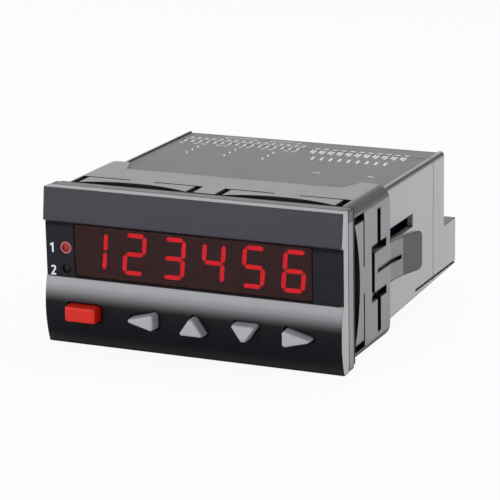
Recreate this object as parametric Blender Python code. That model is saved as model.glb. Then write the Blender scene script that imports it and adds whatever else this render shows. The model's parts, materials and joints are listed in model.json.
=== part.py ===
"""A 96 x 48 mm panel counter: front with six digits and five keys, housing, clamp frame and rear terminals.

X runs to the right, Y to the rear and Z up. The bezel's bottom edge lies at Z = 0, and the origin is
the bottom centre of the whole object. Depths are written from the panel seat, which is the rear face
of the bezel flange: ahead() is in front of it and behind() is after it.
"""

import math

import bmesh
import bpy
from mathutils import Vector

# Clearances
FIT = 0.0003
KEY_CLEARANCE = 0.00035
FINE_SEAM = 0.0002
CUT_BEYOND = 0.005

# Front
BEZEL_WIDTH = 0.096
BEZEL_HEIGHT = 0.048
BEZEL_DEPTH = 0.007
BEZEL_EDGE_RADIUS = 0.0003
FLANGE_THICKNESS = 0.0033
FLANGE_RADIUS = 0.0008
FACE_WALL = 0.0015
CAP_SIDE_WALL = 0.0026
BAND_LIP = 0.0013
BAND_LIP_HEIGHT = 0.0004
TOP_BAND_HEIGHT = 0.0104
WINDOW_BAND_HEIGHT = 0.0169
KEY_BULGE = 0.00185
KEY_BULGE_TOP_STEP = 0.0004
BULGE_PEAK_DROP = 0.0110
BULGE_STEPS = 14

# Display
WINDOW_WIDTH = 0.0764
WINDOW_MARGIN = 0.0006
WINDOW_RADIUS = 0.0006
DIGIT_COUNT = 6
DIGIT_PITCH = 0.0128
DIGIT_BLOCK_HEIGHT = 0.0166
DIGIT_HEIGHT = 0.0128
DIGIT_WIDTH = 0.0074
SEGMENT_WIDTH = 0.0013
SEGMENT_GAP = 0.00022
SEGMENT_RELIEF = 0.0003
SEGMENT_SLANT = math.radians(5.5)
SEGMENT_SINK = 0.0003
STATUS_X = -0.0412
STATUS_RISE_UPPER = 0.00055
STATUS_RISE_LOWER = -0.00605
LED_RADIUS = 0.00145
LED_SIDES = 16
LED_FLANGE = 0.0004
LED_FLANGE_LENGTH = 0.0008
LED_NOSE = 0.0007
LED_NOSE_ANGLES = (0.0, math.radians(40), math.radians(72))

# Keys
KEY_DROP = 0.0100
KEY_STAND = 0.0034
KEY_DRAFT = 0.0002
KEY_EDGE = 0.0005
KEY_EDGE_STEPS = 3
KEY_COLLAR = 0.0008
KEY_COLLAR_THICKNESS = 0.0008
KEY_TRAVEL = 0.0006
ENTER_KEY_X = -0.0347
ENTER_KEY_WIDTH = 0.0110
ENTER_KEY_HEIGHT = 0.0050
ENTER_KEY_CORNER = 0.0006
ARROW_KEY_PITCH = 0.01665
FIRST_ARROW_X = -0.01495
ARROW_LENGTH = 0.0096
ARROW_WIDTH = 0.0088
ARROW_TALL = 0.0054
ARROW_TIP_CUT = 0.0007
ARROW_TIP_RISE = 0.00056
ARROW_TIP_FLAT = 0.00028
ARROW_FOOT_CUT = 0.00042
MAT_THICKNESS = 0.0012
MAT_DOME_HEIGHT = 0.0007
MAT_DOME_RADIUS = 0.0024
MAT_DOME_CROWN = 0.0017
MAT_DOME_SIDES = 12
MAT_MARGIN = 0.0012

# Boards
BOARD_THICKNESS = 0.0016
DISPLAY_BOARD_FRONT = 0.0001
MAIN_BOARD_SETBACK = 0.0035
DISPLAY_BOARD_MARGIN = 0.0006
BOSS_RADIUS = 0.0011
BOSS_SIDES = 10
BOSS_X = 0.041
BOSS_UPPER_RISE = 0.003
BOSS_LOWER_DROP = 0.0021
LUG_X = 0.020
LUG_WIDTH = 0.007
LUG_THICKNESS = 0.0011
LUG_REACH = 0.004
MAIN_BOARD_CLEARANCE = 0.0054
RELAY_BOARD_DROP = 0.0079
RELAY_BOARD_START = 0.030
BOARD_SIDE_GAP = 0.0005
RAIL_DEPTH = 0.0012
RAIL_HEIGHT = 0.0012
RAIL_START = 0.0075

# Housing
FLANGE_SIDE_RIM = 0.003
FLANGE_TOP_RIM = 0.0023
HOUSING_WALL = 0.0018
HOUSING_RADIUS = 0.0012
HOUSING_LENGTH = 0.0749
COLLAR_SIDE_STEP = 0.0008
COLLAR_TOP_STEP = 0.0006
COLLAR_LENGTH = 0.0022
BEAD_WIDTH = 0.0016
BEAD_HEIGHT = 0.0005
BEAD_START = 0.004
POCKET_START = 0.036
POCKET_END = 0.0566
POCKET_INNER = 0.0042
POCKET_OUTER = 0.0083
RATCHET_HALF_HEIGHT = 0.0034
RATCHET_START = 0.010
RATCHET_END = 0.047
TOOTH_PITCH = 0.0015
TOOTH_RAMP = 0.0012
TOOTH_DEPTH = 0.0009
SEAM_RISE = 0.0047
SEAM_WIDTH = 0.0006
SEAM_DEPTH = 0.0005
SEAM_START = 0.059
UNDERSIDE_SETBACK = 0.0023
UNDERSIDE_STEP = 0.00185
UNDERSIDE_RISE = 0.00225

# Gasket
GASKET_SIDE_RIM = 0.0014
GASKET_TOP_RIM = 0.0009
GASKET_THICKNESS = 0.0021

# Clamp frame
FRAME_SIDE_WALL = 0.0022
FRAME_TOP_WALL = 0.0016
FRAME_RADIUS = 0.0045
FRAME_REACH = 0.0307
FRAME_MIDDLE_STEP = 0.0082
FRAME_CORNER_WIDTH = 0.0093
FRAME_STEP_RUN = 0.003
FINGER_REAR = 0.0094
FINGER_SLOT = 0.0008
FINGER_BOW = 0.0038
FINGER_TIP_GAP = 0.0022
FINGER_LAND = 0.0041
FINGER_MIDDLE_STRIP = 0.0036
TOP_FINGER_MARGIN = 0.0039
SIDE_FINGER_MARGIN = 0.0033
BOW_STEPS = 12
LATCH_SLOT = 0.0024
LATCH_LENGTH = 0.0119
LATCH_END_MARGIN = 0.003
LATCH_HALF_HEIGHT = 0.0061
TORSION_SLOT_SETBACK = 0.0046
TORSION_SLOT_WIDTH = 0.0027
TORSION_SLOT_MARGIN = 0.0049
LEVER_THICKNESS = 0.0016
LEVER_KNEE_SETBACK = 0.0008
LEVER_FIRST_LENGTH = 0.0070
LEVER_FIRST_FLARE = 0.0012
LEVER_SECOND_LENGTH = 0.0092
LEVER_SECOND_FLARE = 0.0027
LEVER_END_RADIUS = 0.0020
LEVER_END_STEPS = 4
LEVER_GROOVE_WIDTH = 0.0011
LEVER_GROOVE_DEPTH = 0.0008

# Rear
REAR_COVER_LENGTH = 0.0098
REAR_PLATE = 0.002
SPIGOT_LENGTH = 0.002
SPIGOT_WALL = 0.0012
TERMINAL_REACH = 0.011
SHROUD_HEIGHT = 0.0192
SHROUD_RADIUS = 0.0003
POLE_PITCH = 0.00762
LOWER_POLES = 11
UPPER_POLES = 7
UPPER_BLOCK_HEIGHT = 0.0144
UPPER_BLOCK_DROP = 0.0032
UPPER_BLOCK_LENGTH = 0.0107
UPPER_BLOCK_PROUD = 0.0015
LOWER_BLOCK_INSET = 0.0006
LOWER_BLOCK_DEPTH = 0.0129
WIRE_ENTRY_WIDTH = 0.0036
WIRE_ENTRY_HEIGHT = 0.0038
WIRE_ENTRY_DEPTH = 0.006
SCREW_RADIUS = 0.0017
SCREW_LENGTH = 0.0055
SCREW_RECESS = 0.0012
SCREW_SLOT = 0.0006
SCREW_SLOT_DEPTH = 0.0007
SCREW_SIDES = 14
SCREW_OFFSET = 0.0033
WIRE_OFFSET = -0.0032

# Inner components
CORE_SIZE = Vector((0.030, 0.012, 0.0215))
CORE_CENTRE_X = -0.022
CORE_REAR_GAP = 0.0088
WINDING_SIZE = Vector((0.018, 0.024, 0.0175))
RELAY_SIZE = Vector((0.015, 0.0125, 0.0145))
RELAY_X = (0.0115, 0.030)
RELAY_DEPTH = 0.061
CAPACITOR_RADIUS = 0.005
CAPACITOR_HEIGHT = 0.016
CAPACITOR_X = (0.010, 0.024)
CAPACITOR_DEPTH = 0.030
CAPACITOR_SIDES = 20
HEADER_SIZE = Vector((0.026, 0.0062, 0.0035))
LINK_SIZE = Vector((0.0025, 0.014, 0.0))
LINK_X = 0.039
LINK_DEPTH = 0.038

# Colours, roughness and metallic value of each kind of material
DARK_GREY = (0.10, 0.10, 0.105)
HOUSING_GREY = (0.14, 0.14, 0.145)
FRAME_GREY = (0.12, 0.12, 0.125)
BLACK = (0.02, 0.02, 0.022)
KEY_RED = (0.65, 0.02, 0.01)
KEY_GREY = (0.42, 0.43, 0.46)
LED_RED = (0.55, 0.03, 0.03)
FILTER_RED = (0.09, 0.02, 0.02)
BOARD_GREEN = (0.02, 0.14, 0.06)
STEEL = (0.6, 0.6, 0.62)
RELAY_BLUE = (0.05, 0.10, 0.25)
TERMINAL_GREY = (0.11, 0.11, 0.115)

# What follows from the sizes above
MID_Z = BEZEL_HEIGHT / 2
BAND_HIGH = BEZEL_HEIGHT - TOP_BAND_HEIGHT
BAND_LOW = BAND_HIGH - WINDOW_BAND_HEIGHT
DISPLAY_Z = (BAND_HIGH + BAND_LOW) / 2
KEY_Z = BAND_LOW - KEY_DROP
BOSS_HEIGHTS = (BAND_LOW - BOSS_LOWER_DROP, BAND_HIGH + BOSS_UPPER_RISE)
STATUS_HEIGHTS = (DISPLAY_Z + STATUS_RISE_UPPER, DISPLAY_Z + STATUS_RISE_LOWER)
HOUSING_WIDTH = BEZEL_WIDTH - 2 * FLANGE_SIDE_RIM
HOUSING_HEIGHT = BEZEL_HEIGHT - 2 * FLANGE_TOP_RIM
HOUSING_BOTTOM = MID_Z - HOUSING_HEIGHT / 2
FRONT_REACH = BEZEL_DEPTH + KEY_BULGE + KEY_STAND
SHELL_END = HOUSING_LENGTH + FIT
COVER_END = SHELL_END + REAR_COVER_LENGTH
REAR_REACH = COVER_END + TERMINAL_REACH
PANEL_Y = (FRONT_REACH - REAR_REACH) / 2
FACE_BACK = BEZEL_DEPTH - FACE_WALL
CAP_BACK = FLANGE_THICKNESS + FINE_SEAM
INNER_WIDTH = HOUSING_WIDTH - 2 * HOUSING_WALL
INNER_HEIGHT = HOUSING_HEIGHT - 2 * HOUSING_WALL
INNER_FLOOR = MID_Z - INNER_HEIGHT / 2
INNER_CEILING = MID_Z + INNER_HEIGHT / 2
MAIN_BOARD_Z = INNER_FLOOR + MAIN_BOARD_CLEARANCE
RELAY_BOARD_Z = INNER_CEILING - RELAY_BOARD_DROP
UNDERSIDE_START = FRAME_REACH + UNDERSIDE_SETBACK
UNDERSIDE_SLOPE = UNDERSIDE_RISE / (REAR_REACH - UNDERSIDE_START)
COLLAR_WIDTH = HOUSING_WIDTH + 2 * COLLAR_SIDE_STEP
COLLAR_HEIGHT = HOUSING_HEIGHT + 2 * COLLAR_TOP_STEP
GASKET_WIDTH = COLLAR_WIDTH + 2 * FIT + 2 * GASKET_SIDE_RIM
GASKET_HEIGHT = COLLAR_HEIGHT + 2 * FIT + 2 * GASKET_TOP_RIM
FRAME_WIDTH = HOUSING_WIDTH + 2 * FIT + 2 * FRAME_SIDE_WALL
FRAME_HEIGHT = HOUSING_HEIGHT + 2 * FIT + 2 * FRAME_TOP_WALL
FRAME_MIDDLE_REACH = FRAME_REACH - FRAME_MIDDLE_STEP
FRAME_STEP_OUTER = FRAME_WIDTH / 2 - FRAME_CORNER_WIDTH
FRAME_STEP_INNER = FRAME_STEP_OUTER - FRAME_STEP_RUN
TOP_FINGER_HALF = (FRAME_WIDTH / 2 - TOP_FINGER_MARGIN - FINGER_MIDDLE_STRIP) / 2 - FINGER_TIP_GAP
TOP_FINGER_X = FINGER_MIDDLE_STRIP + FINGER_TIP_GAP + TOP_FINGER_HALF
SIDE_FINGER_HALF = FRAME_HEIGHT / 2 - SIDE_FINGER_MARGIN - FINGER_TIP_GAP
LATCH_REAR = FRAME_REACH - LATCH_END_MARGIN
LATCH_FRONT = LATCH_REAR - LATCH_LENGTH
TORSION_SLOT_START = LATCH_FRONT + TORSION_SLOT_SETBACK
TORSION_SLOT_TOP = FRAME_HEIGHT / 2 - TORSION_SLOT_MARGIN
TERMINAL_SHELF_Z = HOUSING_BOTTOM + SHROUD_HEIGHT
UPPER_BLOCK_HIGH = INNER_CEILING - UPPER_BLOCK_DROP
UPPER_BLOCK_LOW = UPPER_BLOCK_HIGH - UPPER_BLOCK_HEIGHT
UPPER_BLOCK_FRONT = COVER_END + UPPER_BLOCK_PROUD - UPPER_BLOCK_LENGTH
CORE_CENTRE_DEPTH = UPPER_BLOCK_FRONT - CORE_REAR_GAP - WINDING_SIZE.y / 2
SEAM_Z = HOUSING_BOTTOM + SEAM_RISE
BLOCK_FACE = FACE_BACK - FIT - SEGMENT_RELIEF
FRAME_FRONT = FIT + GASKET_THICKNESS + FIT
MAT_BACK = DISPLAY_BOARD_FRONT + FIT
DISPLAY_BOARD_REAR = BOARD_THICKNESS - DISPLAY_BOARD_FRONT
BOARD_START = DISPLAY_BOARD_REAR + MAIN_BOARD_SETBACK


def ahead(distance):
    """Y of a point this far in front of the panel seat."""
    return PANEL_Y - distance


def behind(distance):
    """Y of a point this far behind the panel seat."""
    return PANEL_Y + distance


def underside(depth):
    """Z of the sloped underside at this depth behind the panel seat."""
    return HOUSING_BOTTOM + UNDERSIDE_STEP + UNDERSIDE_SLOPE * (depth - UNDERSIDE_START)


def cover_floor():
    """Lowest Z that the rear cover may take inside the housing's end."""
    return underside(HOUSING_LENGTH) + HOUSING_WALL + FIT


def clear_scene():
    for obj in list(bpy.data.objects):
        bpy.data.objects.remove(obj, do_unlink=True)


def new_object(name, bm):
    """An object from a bmesh whose faces are first turned outwards."""
    bmesh.ops.recalc_face_normals(bm, faces=bm.faces)
    mesh = bpy.data.meshes.new(name)
    bm.to_mesh(mesh)
    bm.free()
    obj = bpy.data.objects.new(name, mesh)
    bpy.context.collection.objects.link(obj)
    return obj


def add_rings(bm, rings):
    """A closed body from rings of points, each ring joined to the next and the end rings capped."""
    loops = [[bm.verts.new(point) for point in ring] for ring in rings]
    for near, far in zip(loops, loops[1:]):
        count = len(near)
        for i in range(count):
            j = (i + 1) % count
            bm.faces.new((near[i], near[j], far[j], far[i]))
    bm.faces.new(list(reversed(loops[0])))
    bm.faces.new(loops[-1])


def place(axis, along, point):
    """A 2-D outline point put at a distance along the axis that the outline is extruded on."""
    u, v = point
    if axis == "X":
        return Vector((along, u, v))
    if axis == "Y":
        return Vector((u, along, v))
    return Vector((u, v, along))


def prism(name, outline, axis, start, end):
    bm = bmesh.new()
    add_rings(bm, [[place(axis, along, point) for point in outline] for along in (start, end)])
    return new_object(name, bm)


def prisms(name, outlines, axis, start, end):
    """Several separate prisms in one object, for a cutter or for shapes that a union joins."""
    bm = bmesh.new()
    for outline in outlines:
        add_rings(bm, [[place(axis, along, point) for point in outline] for along in (start, end)])
    return new_object(name, bm)


def corners(low, high):
    return [(low[0], low[1]), (high[0], low[1]), (high[0], high[1]), (low[0], high[1])]


def box(name, low, high):
    return prism(name, corners(low, high), "Z", low[2], high[2])


def boxes(name, bounds):
    bm = bmesh.new()
    for low, high in bounds:
        outline = corners(low, high)
        add_rings(bm, [[place("Z", z, point) for point in outline] for z in (low[2], high[2])])
    return new_object(name, bm)


def rounded_rectangle(width, height, radius, centre=(0.0, MID_Z), steps=4):
    """Outline of a rectangle with round corners, counter-clockwise."""
    points = []
    for quadrant in range(4):
        sign_u = (1, -1, -1, 1)[quadrant]
        sign_v = (1, 1, -1, -1)[quadrant]
        for step in range(steps + 1):
            angle = math.pi / 2 * (quadrant + step / steps)
            u = centre[0] + sign_u * (width / 2 - radius) + radius * math.cos(angle)
            v = centre[1] + sign_v * (height / 2 - radius) + radius * math.sin(angle)
            points.append((u, v))
    return points


def circle(radius, sides, centre=(0.0, 0.0)):
    turn = 2 * math.pi / sides
    return [
        (centre[0] + radius * math.cos(turn * i), centre[1] + radius * math.sin(turn * i))
        for i in range(sides)
    ]


def offset(outline, distance):
    """A convex counter-clockwise outline with every edge moved outwards by the distance."""
    count = len(outline)
    lines = []
    for i in range(count):
        start = Vector(outline[i])
        run = (Vector(outline[(i + 1) % count]) - start).normalized()
        lines.append((start + distance * Vector((run.y, -run.x)), run))
    moved = []
    for i in range(count):
        point, run = lines[i - 1]
        other, other_run = lines[i]
        share = (other - point).cross(other_run) / run.cross(other_run)
        moved.append(tuple(point + share * run))
    return moved


def shrunk(outline, distance):
    """The outline drawn in about its centre, by the distance at its nearest edge."""
    centre = sum((Vector(point) for point in outline), Vector((0.0, 0.0))) / len(outline)
    reach = min(
        abs((Vector(point) - centre).cross((Vector(after) - Vector(point)).normalized()))
        for point, after in zip(outline, outline[1:] + outline[:1])
    )
    share = 1 - distance / reach
    return [tuple(centre + share * (Vector(point) - centre)) for point in outline]


def arc_through(first, middle, last, steps):
    """Points of the circular arc that starts at first, passes through middle and ends at last."""
    (ax, ay), (bx, by), (cx, cy) = first, middle, last
    d = 2 * (ax * (by - cy) + bx * (cy - ay) + cx * (ay - by))
    a2, b2, c2 = ax * ax + ay * ay, bx * bx + by * by, cx * cx + cy * cy
    ux = (a2 * (by - cy) + b2 * (cy - ay) + c2 * (ay - by)) / d
    uy = (a2 * (cx - bx) + b2 * (ax - cx) + c2 * (bx - ax)) / d
    radius = math.hypot(ax - ux, ay - uy)
    start = math.atan2(ay - uy, ax - ux)
    sweep = math.remainder(math.atan2(cy - uy, cx - ux) - start, 2 * math.pi)
    angles = [start + sweep * i / steps for i in range(steps + 1)]
    return [(ux + radius * math.cos(angle), uy + radius * math.sin(angle)) for angle in angles]


def mirrored(outline):
    """The outline reflected left to right, still counter-clockwise."""
    return [(-u, v) for u, v in reversed(outline)]


def combine(target, tool, operation):
    modifier = target.modifiers.new(tool.name, "BOOLEAN")
    modifier.operation = operation
    modifier.solver = "EXACT"
    modifier.object = tool
    tool.hide_render = True
    tool.display_type = "WIRE"


def cut(target, tool):
    combine(target, tool, "DIFFERENCE")


def join(target, tool):
    combine(target, tool, "UNION")


def baked_mesh(obj):
    """The object's mesh with its modifiers in it, for copies that share it."""
    bpy.context.view_layer.update()
    graph = bpy.context.evaluated_depsgraph_get()
    return bpy.data.meshes.new_from_object(obj.evaluated_get(graph))


def paint(obj, colour, roughness, metallic=0.0):
    material = bpy.data.materials.new(obj.name)
    material.use_nodes = True
    shader = material.node_tree.nodes["Principled BSDF"]
    shader.inputs["Base Color"].default_value = (*colour, 1.0)
    shader.inputs["Roughness"].default_value = roughness
    shader.inputs["Metallic"].default_value = metallic
    obj.data.materials.clear()
    obj.data.materials.append(material)
    return obj


def smooth_round(obj):
    obj.data.shade_smooth()
    obj.data.set_sharp_from_angle(angle=math.radians(35))
    return obj


def cap_profile():
    """Side outline of the front cap, in Y and Z: slanted top band, flat window band, bulging key panel."""
    edge = ahead(BEZEL_DEPTH)
    peak = ahead(BEZEL_DEPTH + KEY_BULGE)
    bulge_top = ahead(BEZEL_DEPTH + KEY_BULGE_TOP_STEP)
    bulge = arc_through((bulge_top, BAND_LOW), (peak, BAND_LOW - BULGE_PEAK_DROP), (edge, 0.0), BULGE_STEPS)
    lip = ahead(BEZEL_DEPTH + BAND_LIP)
    return [
        (ahead(CAP_BACK), 0.0),
        (ahead(CAP_BACK), BEZEL_HEIGHT),
        (edge, BEZEL_HEIGHT),
        (lip, BAND_HIGH + BAND_LIP_HEIGHT),
        (edge, BAND_HIGH),
        (edge, BAND_LOW),
    ] + bulge


def window_outline(grow):
    height = BAND_HIGH - BAND_LOW - 2 * WINDOW_MARGIN + 2 * grow
    return rounded_rectangle(WINDOW_WIDTH + 2 * grow, height, WINDOW_RADIUS, (0.0, DISPLAY_Z), 2)


def arrow_outline(kind):
    """Triangle with cut tips about the origin, counter-clockwise."""
    level = kind in ("left", "right")
    half = (ARROW_LENGTH if level else ARROW_WIDTH) / 2
    tall = ARROW_TALL / 2
    cut_tip = ARROW_TIP_CUT
    right = [
        (-half, tall - cut_tip),
        (-half, -tall + cut_tip),
        (-half + cut_tip, -tall),
        (half - cut_tip, -ARROW_TIP_RISE),
        (half - ARROW_TIP_FLAT, 0.0),
        (half - cut_tip, ARROW_TIP_RISE),
        (-half + cut_tip, tall),
    ]
    up = [
        (-half + cut_tip, -tall),
        (half - cut_tip, -tall),
        (half - ARROW_FOOT_CUT, -tall + cut_tip),
        (cut_tip, tall),
        (-cut_tip, tall),
        (-half + ARROW_FOOT_CUT, -tall + cut_tip),
    ]
    if kind == "right":
        return right
    if kind == "left":
        return mirrored(right)
    if kind == "up":
        return up
    return [(u, -v) for u, v in reversed(up)]


def enter_outline():
    centre = (0.0, 0.0)
    return rounded_rectangle(ENTER_KEY_WIDTH, ENTER_KEY_HEIGHT, ENTER_KEY_CORNER, centre, 2)


def key_list():
    """Name, outline and centre of each key, from left to right."""
    keys = [("enter_key", enter_outline(), ENTER_KEY_X)]
    for index, kind in enumerate(("left", "up", "down", "right")):
        keys.append((f"{kind}_key", arrow_outline(kind), FIRST_ARROW_X + index * ARROW_KEY_PITCH))
    return keys


def shifted(outline, x, z):
    return [(u + x, v + z) for u, v in outline]


def front_cap():
    half = BEZEL_WIDTH / 2
    cap = prism("front_cap", cap_profile(), "X", -half, half)
    edges = cap.modifiers.new("edges", "BEVEL")
    edges.width = BEZEL_EDGE_RADIUS
    edges.segments = 2
    edges.limit_method = "ANGLE"
    edges.angle_limit = math.radians(50)
    hollow_x = half - CAP_SIDE_WALL
    hollow_low = (-hollow_x, ahead(FACE_BACK), CAP_SIDE_WALL)
    hollow_high = (hollow_x, ahead(0), BEZEL_HEIGHT - CAP_SIDE_WALL)
    cut(cap, box("cap_hollow", hollow_low, hollow_high))
    through = (ahead(FRONT_REACH), ahead(CAP_BACK))
    cut(cap, prism("window_opening", window_outline(FIT), "Y", *through))
    for name, outline, x in key_list():
        opening = shifted(offset(outline, KEY_CLEARANCE), x, KEY_Z)
        cut(cap, prism(name + "_opening", opening, "Y", *through))
    holes = [circle(LED_RADIUS + FIT, LED_SIDES, (STATUS_X, z)) for z in STATUS_HEIGHTS]
    cut(cap, prisms("status_openings", holes, "Y", *through))
    overlap = FACE_WALL / 2
    posts = [circle(BOSS_RADIUS, BOSS_SIDES, (side * BOSS_X, z)) for side in (-1, 1) for z in BOSS_HEIGHTS]
    post_end = ahead(DISPLAY_BOARD_FRONT + FIT)
    join(cap, prisms("board_posts", posts, "Y", ahead(FACE_BACK + overlap), post_end))
    join(cap, snap_lugs(ahead(FACE_BACK + overlap)))
    return paint(cap, DARK_GREY, 0.35)


def snap_lugs(front):
    """Four lugs that reach from the cap into the mouth of the housing."""
    seat = INNER_HEIGHT / 2 - FIT
    bounds = []
    for x in (-LUG_X, LUG_X):
        for side in (-1, 1):
            z = sorted((MID_Z + side * seat, MID_Z + side * (seat - LUG_THICKNESS)))
            low = (x - LUG_WIDTH / 2, front, z[0])
            high = (x + LUG_WIDTH / 2, behind(LUG_REACH), z[1])
            bounds.append((low, high))
    return boxes("snap_lugs", bounds)


def display_window():
    window = prism("display_window", window_outline(0.0), "Y", ahead(BEZEL_DEPTH), ahead(FACE_BACK))
    return paint(window, FILTER_RED, 0.08)


def key(name, outline, x):
    """A key that stands out of the cap, with a round front edge and a collar that keeps it in."""
    tip = BEZEL_DEPTH + KEY_BULGE + KEY_STAND
    collar_front = FACE_BACK - FIT
    collar_back = collar_front - KEY_COLLAR_THICKNESS
    stem_back = MAT_BACK + MAT_THICKNESS + MAT_DOME_HEIGHT + KEY_TRAVEL + FIT
    grown = offset(outline, KEY_COLLAR + KEY_CLEARANCE)
    edge = []
    for step in range(KEY_EDGE_STEPS + 1):
        angle = math.pi / 2 * step / KEY_EDGE_STEPS
        drawn_in = KEY_DRAFT + KEY_EDGE * (1 - math.cos(angle))
        edge.append((tip - KEY_EDGE * (1 - math.sin(angle)), shrunk(outline, drawn_in)))
    rings = [
        (stem_back, outline),
        (collar_back, outline),
        (collar_back, grown),
        (collar_front, grown),
        (collar_front, outline),
    ] + edge
    bm = bmesh.new()
    add_rings(bm, [[Vector((u, -distance, v)) for u, v in ring] for distance, ring in rings])
    obj = new_object(name, bm)
    obj.location = (x, PANEL_Y, KEY_Z)
    return obj


def keys():
    for name, outline, x in key_list():
        colour = KEY_RED if name == "enter_key" else KEY_GREY
        paint(key(name, outline, x), colour, 0.4)


def key_mat():
    """Rubber mat with one dome behind each key."""
    places = [x for _, _, x in key_list()]
    left = places[0] - ENTER_KEY_WIDTH / 2 - MAT_MARGIN
    right = places[-1] + ARROW_LENGTH / 2 + MAT_MARGIN
    half = ARROW_TALL / 2 + MAT_MARGIN
    mat_front = MAT_BACK + MAT_THICKNESS
    mat = box("key_mat", (left, ahead(mat_front), KEY_Z - half), (right, ahead(MAT_BACK), KEY_Z + half))
    bm = bmesh.new()
    for x in places:
        foot = circle(MAT_DOME_RADIUS, MAT_DOME_SIDES, (x, KEY_Z))
        crown = circle(MAT_DOME_CROWN, MAT_DOME_SIDES, (x, KEY_Z))
        sunk = ahead(mat_front - MAT_THICKNESS / 2)
        rings = [(sunk, foot), (ahead(mat_front), foot), (ahead(mat_front + MAT_DOME_HEIGHT), crown)]
        add_rings(bm, [[Vector((u, y, v)) for u, v in ring] for y, ring in rings])
    join(mat, new_object("mat_domes", bm))
    return paint(mat, BLACK, 0.7)


def segment_outlines():
    """The seven segments of one slanted digit, as hexagons about the digit's centre."""
    half_width = (DIGIT_WIDTH - SEGMENT_WIDTH) / 2
    half_height = (DIGIT_HEIGHT - SEGMENT_WIDTH) / 2
    point = SEGMENT_WIDTH / 2
    level = [(-half_width, half_height, 0), (-half_width, 0.0, 0), (-half_width, -half_height, 0)]
    upright = [(x, z, 1) for x in (-half_width, half_width) for z in (0.0, -half_height)]
    outlines = []
    for x, z, stands in level + upright:
        length = half_height if stands else 2 * half_width
        start = SEGMENT_GAP
        end = length - SEGMENT_GAP
        run = [(start, 0), (start + point, -point), (end - point, -point)]
        run += [(end, 0), (end - point, point), (start + point, point)]
        if stands:
            shape = [(x - v, z + u) for u, v in run]
        else:
            shape = [(x + u, z + v) for u, v in run]
        lean = math.tan(SEGMENT_SLANT)
        outlines.append([(u + lean * v, v) for u, v in shape])
    return outlines


def digits():
    """Six display blocks, each with its seven segments in low relief."""
    half = (DIGIT_PITCH - FIT) / 2
    tall = DIGIT_BLOCK_HEIGHT / 2
    face = -BLOCK_FACE
    block = box("digit_block", (-half, face, -tall), (half, -(DISPLAY_BOARD_FRONT + FIT), tall))
    segments = prisms("segments", segment_outlines(), "Y", face + SEGMENT_SINK, face - SEGMENT_RELIEF)
    join(block, segments)
    mesh = baked_mesh(block)
    block.hide_render = True
    block.display_type = "WIRE"
    for index in range(DIGIT_COUNT):
        digit = bpy.data.objects.new(f"digit_{index + 1}", mesh.copy())
        bpy.context.collection.objects.link(digit)
        x = (index - (DIGIT_COUNT - 1) / 2) * DIGIT_PITCH
        digit.location = (x, PANEL_Y, DISPLAY_Z)
        paint(digit, BLACK, 0.5)


def status_leds():
    back = DISPLAY_BOARD_FRONT + FIT
    nose = [
        (BEZEL_DEPTH - LED_NOSE * (1 - math.sin(angle)), LED_RADIUS * math.cos(angle))
        for angle in LED_NOSE_ANGLES
    ]
    for index, z in enumerate(STATUS_HEIGHTS):
        rings = [
            (back, LED_RADIUS + LED_FLANGE),
            (back + LED_FLANGE_LENGTH, LED_RADIUS + LED_FLANGE),
            (back + LED_FLANGE_LENGTH, LED_RADIUS),
        ]
        rings += nose
        bm = bmesh.new()
        points = [[Vector((u, -d, v)) for u, v in circle(radius, LED_SIDES)] for d, radius in rings]
        add_rings(bm, points)
        led = new_object(f"status_led_{index + 1}", bm)
        led.location = (STATUS_X, PANEL_Y, z)
        paint(smooth_round(led), LED_RED, 0.2)


def display_board():
    half_width = INNER_WIDTH / 2 - DISPLAY_BOARD_MARGIN
    half_height = INNER_HEIGHT / 2 - LUG_THICKNESS - 2 * FIT
    low = (-half_width, ahead(DISPLAY_BOARD_FRONT), MID_Z - half_height)
    high = (half_width, behind(DISPLAY_BOARD_REAR), MID_Z + half_height)
    return paint(box("display_board", low, high), BOARD_GREEN, 0.45)


def housing_section():
    """Outer outline of the housing and its rear cover, as high as the two beads on its top edges."""
    return rounded_rectangle(HOUSING_WIDTH, HOUSING_HEIGHT, HOUSING_RADIUS)


def top_trough(name, start, end):
    """Cutter that leaves the two beads standing along the top edges."""
    half = HOUSING_WIDTH / 2 - BEAD_WIDTH
    top = MID_Z + HOUSING_HEIGHT / 2
    return box(name, (-half, behind(start), top - BEAD_HEIGHT), (half, behind(end), top + BEAD_HEIGHT))


def side_pairs(name, start, end, low, high, inner, outer):
    """Boxes through both side walls, at this height range above and below the middle."""
    bounds = []
    for side in (-1, 1):
        x = sorted((side * inner, side * outer))
        for flip in (-1, 1):
            z = sorted((MID_Z + flip * low, MID_Z + flip * high))
            bounds.append(((x[0], behind(start), z[0]), (x[1], behind(end), z[1])))
    return boxes(name, bounds)


def ratchet_cutter():
    """Saw teeth across both side walls; what is left between the cuts stays flush with the wall."""
    surface = HOUSING_WIDTH / 2
    count = int((RATCHET_END - RATCHET_START) / TOOTH_PITCH)
    outlines = []
    for side in (-1, 1):
        for index in range(count):
            y = behind(RATCHET_START + index * TOOTH_PITCH)
            steep = (side * (surface - TOOTH_DEPTH), y)
            foot = (side * (surface + TOOTH_DEPTH), y)
            ramp = (side * surface, y + TOOTH_RAMP)
            high = (side * (surface + TOOTH_DEPTH), y + TOOTH_RAMP)
            outlines.append([steep, foot, high, ramp])
    low = MID_Z - RATCHET_HALF_HEIGHT
    return prisms("ratchet_cutter", outlines, "Z", low, MID_Z + RATCHET_HALF_HEIGHT)


def seam_cutter(name, start, end):
    """Groove low on both sides, which runs on from the housing into the rear cover."""
    surface = HOUSING_WIDTH / 2
    bounds = []
    for side in (-1, 1):
        x = sorted((side * (surface - SEAM_DEPTH), side * (surface + SEAM_DEPTH)))
        z = (SEAM_Z - SEAM_WIDTH / 2, SEAM_Z + SEAM_WIDTH / 2)
        bounds.append(((x[0], behind(start), z[0]), (x[1], behind(end), z[1])))
    return boxes(name, bounds)


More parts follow.
